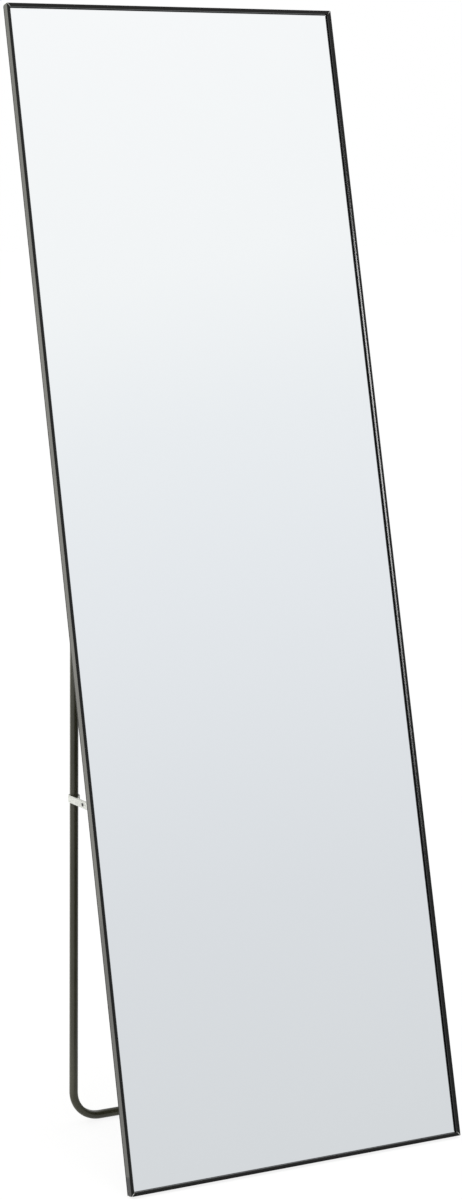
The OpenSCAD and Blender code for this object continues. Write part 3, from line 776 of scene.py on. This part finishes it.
def ring(centre, radius, sides=28, start=0.0, sweep=2 * math.pi):
    """Points of a circle, or of a part of one with both its ends."""
    steps = sides if sweep >= 2 * math.pi else sides + 1
    return [(centre[0] + radius * math.cos(start + sweep * i / sides),
             centre[1] + radius * math.sin(start + sweep * i / sides)) for i in range(steps)]


# %% Stamp and fold a sheet
BEND_STRIPS = 6


def pressed(outline, holes, fold, thickness, edge=0.25 * MM):
    """Sheet metal. The result has the fold in X and Y, and the width of the sheet along Z."""
    drawing = bpy.data.curves.new("flat_sheet", "CURVE")
    drawing.dimensions, drawing.fill_mode = "2D", "BOTH"
    for loop in [outline] + holes:
        spline = drawing.splines.new("POLY")
        spline.points.add(len(loop) - 1)
        for point, (u, v) in zip(spline.points, loop):
            point.co = (u, v, 0, 1)
        spline.use_cyclic_u = True
    shape = bmesh.new()
    shape.from_mesh(settled(throwaway(drawing)))
    bmesh.ops.remove_doubles(shape, verts=shape.verts, dist=0.001 * MM)
    for begin, length, _, _, _, radius in fold.runs:
        for i in range(BEND_STRIPS + 1) if radius else ():
            bmesh.ops.bisect_plane(
                shape, geom=shape.verts[:] + shape.edges[:] + shape.faces[:], dist=0.001 * MM,
                plane_co=(begin + length * i / BEND_STRIPS, 0, 0), plane_no=(1, 0, 0))
    bmesh.ops.recalc_face_normals(shape, faces=shape.faces)
    for vertex in shape.verts:
        p = fold.at(vertex.co.x)
        vertex.co = (p.x, p.y, vertex.co.y)
    mesh = bpy.data.meshes.new("pressed")
    shape.to_mesh(mesh)
    shape.free()
    bench = throwaway(mesh)
    sheet = bench.modifiers.new("sheet", "SOLIDIFY")
    sheet.thickness, sheet.offset, sheet.use_even_offset = thickness, 0, True
    return rounded(outward(settled(bench), 0.001 * MM), edge)


# %% [markdown]
# ## Hinge brackets and strap anchors
# Both are angles of steel that are screwed to the back of the upright rails. The ear of a hinge
# bracket stands outside the tube and holds the pivot bolt. The anchor reaches under the folded
# leg, and its ear holds the end of the strap.

# %% Fold the angles
SEAT_GAP = 0.1 * MM
BACK = FRAME_DEPTH + SEAT_GAP
PLATE_EDGE, RAIL_MID, PLATE_ROUND, SCREW_HOLE_R = 248.6 * MM, 244 * MM, 3 * MM, 1.83 * MM


def corner_rounds(u, half, radius):
    """The two rounded corners of a plate's outer edge."""
    quarter = math.pi / 2
    return (ring((u + radius, half - radius), radius, 8, quarter, quarter)
            + ring((u + radius, radius - half), radius, 8, math.pi, quarter))


def angle_piece(ear, thickness, hole_y, height, foot, end_r, hole_r, pitch, height_up):
    """An angle whose ear stands at a distance from the middle of the mirror."""
    middle = BACK + thickness / 2
    section = [(-PLATE_EDGE, middle), (-ear, middle), (-ear, hole_y + end_r + MM)]
    fold = Fold(section, 1.05 * thickness)
    hole_u = fold.flat(2, (-ear, hole_y))
    foot_u = fold.runs[1][0]
    outline = corner_rounds(0, height / 2, PLATE_ROUND)
    outline += [(foot_u, -height / 2), (foot_u, -foot / 2)]
    lean = math.atan2(foot / 2 - end_r, hole_u - foot_u)
    outline += ring((hole_u, 0), end_r, 18, lean - math.pi / 2, math.pi - 2 * lean)
    outline += [(foot_u, foot / 2), (foot_u, height / 2)]
    screw_u = PLATE_EDGE - RAIL_MID
    holes = [ring((hole_u, 0), hole_r)]
    holes += [ring((screw_u, z), SCREW_HOLE_R) for z in (-pitch / 2, pitch / 2)]
    mesh = pressed(outline, holes, fold, thickness)
    mesh.transform(Matrix.Translation((0, 0, height_up)))
    return mesh


STRAP_UP, STRAP_W, PAST = 463.25 * MM, 10.5 * MM, 6 * MM
BRACKET_T, ANCHOR_T, ANCHOR_CLEAR = 2.5 * MM, 2 * MM, 0.6 * MM
strap_z = STRAP_UP - LEG_LENGTH
ANCHOR_Y = (BACK + ANCHOR_T + ANCHOR_CLEAR
            + PAST * math.cos(LEG_OPEN) + STRAP_W / 2 * math.sin(LEG_OPEN))
RUN = (PIVOT_Y - strap_z * math.sin(LEG_OPEN) - ANCHOR_Y) / math.cos(LEG_OPEN)
ANCHOR_Z = PIVOT_H + strap_z * math.cos(LEG_OPEN) - RUN * math.sin(LEG_OPEN)
print("straps run", round(RUN, 4), "m to anchors at", round(ANCHOR_Z, 4), "m")

bracket = angle_piece(ear=215.45 * MM, thickness=BRACKET_T, hole_y=PIVOT_Y, height=60 * MM,
                      foot=29 * MM, end_r=8 * MM, hole_r=2.58 * MM, pitch=42 * MM,
                      height_up=PIVOT_H)
anchor = angle_piece(ear=194 * MM, thickness=ANCHOR_T, hole_y=ANCHOR_Y, height=26 * MM,
                     foot=26 * MM, end_r=5 * MM, hole_r=1.58 * MM, pitch=14 * MM,
                     height_up=ANCHOR_Z)
for name, mesh, node in (("hinge_angle_", bracket, "hinge_bracket_"),
                         ("strap_angle_", anchor, "strap_anchor_")):
    for side, shape in (("left", mesh.copy()), ("right", mirrored_copy(mesh))):
        piece(name + side, shape, powder_coat, "mirror", [node + side], on_mirror)

# %% [markdown]
# ## Wall hangers
# A hanger is a plated strip that steps up in its middle, so that the head of a wall screw has room
# behind it. Its keyhole is one outline: a round hole that lets the head in, and a slot that holds
# the neck.

# %% Fold the hangers
HANGER_Z, HANGER_T, HANGER_W, HANGER_LEN = 1510 * MM, 1.2 * MM, 11 * MM, 62 * MM
HANGER_RISE, FOOT, STEP, HANGER_X = 3.6 * MM, 12 * MM, 4 * MM, 242 * MM
HANGER_ROUND, HANGER_BEND = 2 * MM, 1.5 * MM
low_y = BACK + HANGER_T / 2
high_y = low_y + HANGER_RISE
half = HANGER_LEN / 2
fold = Fold([(-half, low_y), (FOOT - half, low_y), (FOOT + STEP - half, high_y),
             (half - FOOT - STEP, high_y), (half - FOOT, low_y), (half, low_y)], HANGER_BEND)
end_rounds = corner_rounds(0, HANGER_W / 2, HANGER_ROUND)
strip = end_rounds + [(fold.length - u, -v) for u, v in end_rounds]
HOLE_R, SLOT_R, SLOT_LEN = 4.2 * MM, 2.2 * MM, 11 * MM
hole_u = fold.flat(4, (-SLOT_LEN / 2, high_y))
opening = math.asin(SLOT_R / HOLE_R)
keyhole = (ring((hole_u, 0), HOLE_R, 30, opening, 2 * (math.pi - opening))
           + ring((hole_u + SLOT_LEN, 0), SLOT_R, 14, -math.pi / 2, math.pi))
foot_holes = [ring((u, 0), SCREW_HOLE_R) for u in (FOOT / 2, fold.length - FOOT / 2)]
hanger = pressed(strip, [keyhole] + foot_holes, fold, HANGER_T)
stand_up = Matrix(((0, 0, 1, 0), (0, 1, 0, 0), (1, 0, 0, 0), (0, 0, 0, 1)))   # X and Z swap
hanger.transform(stand_up)
outward(hanger)
for side, x in (("left", -HANGER_X), ("right", HANGER_X)):
    piece("keyhole_hanger_" + side, hanger.copy(), zinc_plate, "mirror",
          ["wall_hanger_" + side], on_mirror @ Matrix.Translation((x, 0, HANGER_Z)))

# %% [markdown]
# ## Fasteners that repeat
# Twelve screws, four washers and the two rivets of the anchors are the same few shapes in many
# places. Each shape is made once. Geometry Nodes set it on a list of points and give it a random
# turn about its own axis, with a fixed seed, because nobody lines up the crosses of screws.

# %% A tree that sets a shape on points
def set_out_tree():
    tree = bpy.data.node_groups.new("Set out on points", "GeometryNodeTree")
    sockets = {}
    for name, kind in (("Points", "Geometry"), ("Shape", "Object"), ("Axis", "Vector"),
                       ("Turn", "Float"), ("Seed", "Int"), ("Finish", "Material")):
        sockets[name] = tree.interface.new_socket(
            name, in_out="INPUT", socket_type="NodeSocket" + kind).identifier
    tree.interface.new_socket("Set", in_out="OUTPUT", socket_type="NodeSocketGeometry")
    given = add(tree, "NodeGroupInput")
    points = add(tree, "GeometryNodeMeshToPoints", {"Mesh": given.outputs["Points"]})
    shape = add(tree, "GeometryNodeObjectInfo", {"Object": given.outputs["Shape"]})
    angle = add(tree, "FunctionNodeRandomValue", {
        "Min": 0.0, "Seed": given.outputs["Seed"]}, data_type="FLOAT")
    tree.links.new(given.outputs["Turn"], angle.inputs[3])
    spin = add(tree, "FunctionNodeAxisAngleToRotation", {
        "Axis": given.outputs["Axis"], "Angle": angle.outputs[1]})
    copies = add(tree, "GeometryNodeInstanceOnPoints", {
        "Points": points.outputs[0], "Instance": shape.outputs["Geometry"],
        "Rotation": spin.outputs[0]})
    real = add(tree, "GeometryNodeRealizeInstances", {"Geometry": copies.outputs[0]})
    coated = add(tree, "GeometryNodeSetMaterial", {
        "Geometry": real.outputs[0], "Material": given.outputs["Finish"]})
    add(tree, "NodeGroupOutput", {"Set": coated.outputs[0]})
    return tree, sockets


setting_out, setting_sockets = set_out_tree()


def set_out(shape, points, axis, material, turn=0.0, seed=1):
    """One mesh with a copy of a shape on every point."""
    places = bpy.data.meshes.new("places")
    places.from_pydata(points, [], [])
    sample, bench = throwaway(shape), throwaway(places)
    maker = bench.modifiers.new("set out", "NODES")
    maker.node_group = setting_out
    for name, value in (("Shape", sample), ("Axis", axis), ("Turn", turn), ("Seed", seed),
                        ("Finish", material)):
        maker[setting_sockets[name]] = value
    mesh = settled(bench)
    bpy.data.objects.remove(sample)
    return mesh


def carved(mesh, other, operation="DIFFERENCE"):
    """A mesh with another cut out of it, or joined to it, or kept only where both are."""
    bench, tool = throwaway(mesh), throwaway(other)
    cut = bench.modifiers.new("cut", "BOOLEAN")
    cut.operation, cut.solver, cut.object = operation, "EXACT", tool
    mesh = settled(bench)
    bpy.data.objects.remove(tool)
    return mesh


def block(low, high):
    """A plain box between two corners, for a cutter."""
    shape = bmesh.new()
    bmesh.ops.create_cube(shape, size=1)
    middle, size = (Vector(low) + Vector(high)) / 2, Vector(high) - Vector(low)
    for vertex in shape.verts:
        vertex.co = Vector(a * b for a, b in zip(vertex.co, size)) + middle
    mesh = bpy.data.meshes.new("block")
    shape.to_mesh(mesh)
    shape.free()
    return mesh


# %% Screws into the rails
HEAD_R, HEAD_H, SHANK_R, SCREW_PITCH = 3.2 * MM, 1.9 * MM, 1.75 * MM, 0.7 * MM
HOLLOW_BACK, SCREW_REACH = 12.5 * MM, 1.8 * MM
CROSS_HALF, CROSS_HALF_T, CROSS_DEPTH = 1.7 * MM, 0.35 * MM, 1 * MM


def rail_screw(seat):
    """A pan head screw along Z, whose head sits at this height over the front face."""
    tip = HOLLOW_BACK - SCREW_REACH
    profile = [(0, tip), (SHANK_R - 0.3 * MM, tip)]
    z = tip
    while z < seat - SCREW_PITCH:
        profile += [(SHANK_R - 0.28 * MM, z + 0.08 * MM), (SHANK_R, z + SCREW_PITCH / 2)]
        z += SCREW_PITCH
    profile += [(SHANK_R, seat), (HEAD_R - 0.15 * MM, seat), (HEAD_R, seat + 0.15 * MM)]
    profile += [(r, seat + h) for r, h in reversed(dome(HEAD_R, 0.5 * MM, HEAD_H, 8))]
    screw = lathe(profile, 32)
    for turn in (0, math.pi / 2):
        arm = block((-CROSS_HALF, -CROSS_HALF_T, seat + HEAD_H - CROSS_DEPTH),
                    (CROSS_HALF, CROSS_HALF_T, seat + 2 * HEAD_H))
        arm.transform(Matrix.Rotation(turn, 4, "Z"))
        screw = carved(screw, arm)
    screw.transform(Matrix.Rotation(math.radians(-90), 4, "X"))
    return smooth(screw, 30)


# Each row has a name, a node, the plate's thickness, how far out and how high the screws are,
# half their pitch, their slot and the seed of their turns.
screw_rows = (
    ("bracket_screws", "hinge_bracket_screws", BRACKET_T, RAIL_MID, PIVOT_H, 21 * MM,
     "black_screws", 3),
    ("anchor_screws", "strap_anchor_screws", ANCHOR_T, RAIL_MID, ANCHOR_Z, 7 * MM,
     "black_screws", 5),
    ("hanger_screws", "wall_hanger_screws", HANGER_T, HANGER_X, HANGER_Z, 25 * MM,
     "zinc_plated_steel", 8))
for name, node, plate, out, z, apart, slot, seed in screw_rows:
    material = black_oxide if slot == "black_screws" else zinc_plate
    points = [(x, 0, z + dz) for x in (-out, out) for dz in (-apart, apart)]
    seat = FRAME_DEPTH + plate + 2 * SEAT_GAP
    mesh = set_out(rail_screw(seat), points, (0, 1, 0), material, turn=math.pi, seed=seed)
    piece(name, mesh, material, "mirror", [node], on_mirror)

# %% Washers
WASHER_R, WASHER_T, BOLT_R = 5.5 * MM, 1 * MM, 2.5 * MM
bore_r, e = BOLT_R + 0.08 * MM, 0.15 * MM
washer_profile = [(bore_r, e), (bore_r + e, 0), (WASHER_R - e, 0), (WASHER_R, e),
                  (WASHER_R, WASHER_T - e), (WASHER_R - e, WASHER_T), (bore_r + e, WASHER_T),
                  (bore_r, WASHER_T - e), (bore_r, e)]
lay_down = Matrix.Rotation(math.radians(90), 4, "Y")
for name, node, inner_x in (("washers_inside", "inner_washers", 199.9 * MM),
                            ("washers_outside", "outer_washers", 213.1 * MM)):
    washer = outward(lathe(washer_profile), 0.001 * MM)
    washer.transform(Matrix.Translation((-WASHER_T / 2, 0, 0)) @ lay_down)
    middle = inner_x + WASHER_T / 2
    mesh = set_out(smooth(washer), [(-middle, PIVOT_Y, PIVOT_H), (middle, PIVOT_Y, PIVOT_H)],
                   (1, 0, 0), zinc_plate, turn=math.pi, seed=2)
    piece(name, mesh, zinc_plate, "mirror", [node], on_mirror)

# %% [markdown]
# ## Pivot bolts and lock nuts
# The bolt has a low domed head with a hex socket and a thread that shows past the nut. The lock
# nut is a hexagon with chamfered corners and a round collar.

# %% Turn the bolts and the nuts
HEAD_X, THREAD_X, BOLT_END, BOLT_PITCH = 199.8 * MM, 215 * MM, 223.3 * MM, 0.8 * MM
BOLT_HEAD_R, BOLT_HEAD_H, SOCKET_R, SOCKET_D = 4.7 * MM, 2.8 * MM, 1.7 * MM, 1.6 * MM
NUT_X, NUT_H, NUT_HEX, NUT_R = 216.8 * MM, 5 * MM, 3.7 * MM, 4.6 * MM
profile = [(r, HEAD_X - h) for r, h in dome(BOLT_HEAD_R, 0.5 * MM, BOLT_HEAD_H, 8)]
profile += [(BOLT_HEAD_R, HEAD_X - 0.2 * MM), (BOLT_HEAD_R - 0.2 * MM, HEAD_X), (BOLT_R, HEAD_X)]
x = THREAD_X
while x < BOLT_END - 0.9 * MM:
    profile += [(BOLT_R, x), (BOLT_R, x + 0.1 * MM), (BOLT_R - 0.4 * MM, x + 0.5 * MM)]
    x += BOLT_PITCH
profile += [(BOLT_R, x), (BOLT_R - 0.4 * MM, BOLT_END), (0, BOLT_END)]
bolt = lathe(profile, 36)
socket_top, socket_end = HEAD_X - 2 * BOLT_HEAD_H, HEAD_X - BOLT_HEAD_H + SOCKET_D
socket = lathe([(0, socket_top), (SOCKET_R, socket_top), (SOCKET_R, socket_end), (0, socket_end)],
               6)
bolt = smooth(carved(bolt, socket), 30)
turn_left = Matrix.Translation((0, PIVOT_Y, PIVOT_H)) @ Matrix.Rotation(math.radians(-90), 4, "Y")
bolt.transform(turn_left)

cone, rim = NUT_R * 0.12, NUT_R + 0.02 * MM
hexagon = lathe([(0, 0), (NUT_R, 0), (NUT_R, NUT_HEX), (0, NUT_HEX)], 6)
shell = lathe([(0, 0), (NUT_R - cone, 0), (rim, cone * 0.7), (rim, NUT_HEX - cone * 0.7),
               (NUT_R - cone, NUT_HEX), (0, NUT_HEX)], 48)
collar = lathe([(0, 0.5 * MM), (3.8 * MM, 0.5 * MM), (3.8 * MM, 4.3 * MM), (3.5 * MM, 4.8 * MM),
                (3.1 * MM, NUT_H), (0, NUT_H)], 40)
nut = carved(carved(hexagon, shell, "INTERSECT"), collar, "UNION")
nut = carved(nut, lathe([(0, -MM), (bore_r, -MM), (bore_r, NUT_H + MM), (0, NUT_H + MM)], 36))
nut.transform(turn_left @ Matrix.Translation((0, 0, NUT_X)))
nut = smooth(nut, 25)
for name, mesh, node in (("button_bolt_", bolt, "pivot_bolt_"), ("lock_nut_", nut, "pivot_nut_")):
    for side, shape in (("left", mesh.copy()), ("right", mirrored_copy(mesh))):
        piece(name + side, shape, zinc_plate, "mirror", [node + side],
              on_mirror)

# %% [markdown]
# ## The straps
# A strap is one band of webbing. It starts flat on the ear of its anchor and runs back straight
# to the outer side of the leg's tube. It goes round the tube and comes back on its own inner side,
# where a dark rivet closes the loop. Webbing is modelled directly: a path from above, and a thin
# section with round edges that is carried along it.

# %% The path of the band
STRAP_T, LAYER_GAP, TUBE_GAP = 1.8 * MM, 0.04 * MM, 0.3 * MM
LOOP_R = TUBE_R + TUBE_GAP + STRAP_T / 2
RIVET_Y, LAP_LEN, LAP_PAST, SHIFT = 36 * MM, 23.5 * MM, 6.5 * MM, 11 * MM
LAP_END = RIVET_Y + LAP_PAST
FLAT = RUN - PAST
STRAP_LEAN = math.atan2(SHIFT, FLAT) + math.asin(LOOP_R / math.hypot(SHIFT, FLAT))
leaned = Matrix.Rotation(STRAP_LEAN, 2)
RUN_STEPS, TURN_STEPS, BACK_STEPS, LAP_STEPS = 48, 40, 8, 12


def band_path():
    """Points along the middle of the band, as seen from above, with the tube at the middle."""
    corner = Vector((STRAP_T + LAYER_GAP - LOOP_R, LAP_LEN - LAP_END))
    tangent = math.atan2(corner.y, corner.x) + math.acos(LOOP_R / corner.length)
    path = [Vector((SHIFT, -RUN - PAST)), Vector((SHIFT, -RUN)), Vector((SHIFT, -FLAT))]
    touch = leaned @ Vector((-LOOP_R, 0))
    path += [path[-1].lerp(touch, i / RUN_STEPS) for i in range(1, RUN_STEPS)]
    turn = [math.pi - (math.pi - tangent) * i / TURN_STEPS for i in range(TURN_STEPS + 1)]
    back = [Vector((LOOP_R * math.cos(a), LOOP_R * math.sin(a))) for a in turn]
    back += [back[-1].lerp(corner, i / BACK_STEPS) for i in range(1, BACK_STEPS + 1)]
    back += [corner - Vector((0, LAP_LEN * i / LAP_STEPS)) for i in range(1, LAP_STEPS + 1)]
    path += [leaned @ p for p in back]
    for _ in range(6):                          # soften the corners, but leave the tube alone
        before = [p.copy() for p in path]
        for i in range(1, len(path) - 1):
            if before[i].y < -LOOP_R - MM:
                path[i] = before[i].lerp((before[i - 1] + before[i + 1]) / 2, 0.5)
    return path


# %% Carry the section along the path
def band_section():
    """A thin section with round edges: (across the thickness, across the width)."""
    half_t, half_w, edge, crown = STRAP_T / 2, STRAP_W / 2, 0.7 * MM, 0.06 * MM
    side = [(half_t - crown * (z / 4) ** 2, z * 1.1 * MM) for z in range(-4, 5)]
    top = [(half_t * math.cos(a) * 0.93, half_w - edge + edge * math.sin(a))
           for a in (math.pi / 8, math.pi / 4, 3 * math.pi / 8, math.pi / 2)]
    quarter = side + top
    return quarter + [(-n, -z) for n, z in quarter]


def band(path):
    """The band as a mesh, with a map in metres: along it, and round its section."""
    section = band_section()
    round_section = [0.0]
    for (a, b), (c, d) in zip(section, section[1:] + section[:1]):
        round_section.append(round_section[-1] + math.hypot(c - a, d - b))
    points, lengths = [], [0.0]
    for i, p in enumerate(path):
        ahead = path[min(i + 1, len(path) - 1)] - path[max(i - 1, 0)]
        across = Vector((ahead.y, -ahead.x)).normalized()
        points += [(p.x + across.x * n, p.y + across.y * n, z) for n, z in section]
        if i:
            lengths.append(lengths[-1] + (p - path[i - 1]).length)
    count = len(section)
    faces, uvs = [], []
    for i in range(len(path) - 1):
        for j in range(count):
            k = (j + 1) % count
            faces.append((i * count + j, i * count + k, (i + 1) * count + k, (i + 1) * count + j))
            v0, v1 = round_section[j], round_section[j + 1]
            uvs += [(lengths[i], v0), (lengths[i], v1), (lengths[i + 1], v1), (lengths[i + 1], v0)]
    last = (len(path) - 1) * count
    faces += [tuple(range(count)), tuple(range(last + count - 1, last - 1, -1))]
    for end in (0.0, lengths[-1]):
        uvs += [(end, v) for v in round_section[:count]]
    mesh = bpy.data.meshes.new("band")
    mesh.from_pydata(points, [], faces)
    layer = mesh.uv_layers.new(name="along_band")
    for loop, uv in zip(layer.data, uvs):
        loop.uv = uv
    print("band", round(lengths[-1], 4), "m long")
    return smooth(outward(mesh), 60)


for side, sign in (("left", -1), ("right", 1)):
    mesh = band(band_path())
    mesh.transform(Matrix.Translation((-LEG_X, 0, strap_z)))
    if side == "right":
        mesh = mirrored_copy(mesh)
    webbing = piece("webbing_" + side, mesh, woven, None, ["strap_" + side], on_leg)
    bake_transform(webbing)

# %% Rivets
RIVET_R, RIVET_HEAD_R, RIVET_HEAD_H = 1.5 * MM, 2.4 * MM, 1 * MM


def rivet(low, high):
    """A rivet along X with a domed head at both ends, over a grip from low to high."""
    head = dome(RIVET_HEAD_R, 0.25 * MM, RIVET_HEAD_H, 6)
    profile = [(r, low - h) for r, h in head] + [(RIVET_HEAD_R - 0.1 * MM, low), (RIVET_R, low)]
    profile += [(RIVET_R, high), (RIVET_HEAD_R - 0.1 * MM, high)]
    profile += [(r, high + h) for r, h in reversed(head)]
    mesh = lathe(profile, 28)
    mesh.transform(lay_down)
    return smooth(mesh)


grip = STRAP_T + SEAT_GAP
loop_rivet = rivet(-grip, grip)
loop_rivet.transform(
    Matrix.Translation((-LEG_X, 0, strap_z)) @ Matrix.Rotation(STRAP_LEAN, 4, "Z")
    @ Matrix.Translation(((STRAP_T + LAYER_GAP) / 2 - LOOP_R, -RIVET_Y, 0)))
pair = bmesh.new()
for shape in (loop_rivet, mirrored_copy(loop_rivet)):
    pair.from_mesh(shape)
loop_rivets = bpy.data.meshes.new("loop_rivets")
pair.to_mesh(loop_rivets)
pair.free()
smooth(loop_rivets)
closing = piece("loop_rivets", loop_rivets, dark_lacquer, None, ["strap_rivets"],
                on_leg)
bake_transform(closing)

ear_grip = (ANCHOR_T + STRAP_T + 4 * SEAT_GAP) / 2
ear_x = 192.9 * MM + ear_grip
ears = [(-ear_x, ANCHOR_Y, ANCHOR_Z), (ear_x, ANCHOR_Y, ANCHOR_Z)]
ear_rivets = set_out(rivet(-ear_grip, ear_grip), ears, (1, 0, 0), dark_lacquer, turn=math.pi,
                     seed=6)
piece("ear_rivets", ear_rivets, dark_lacquer, "mirror", ["strap_anchor_rivets"],
      on_mirror)
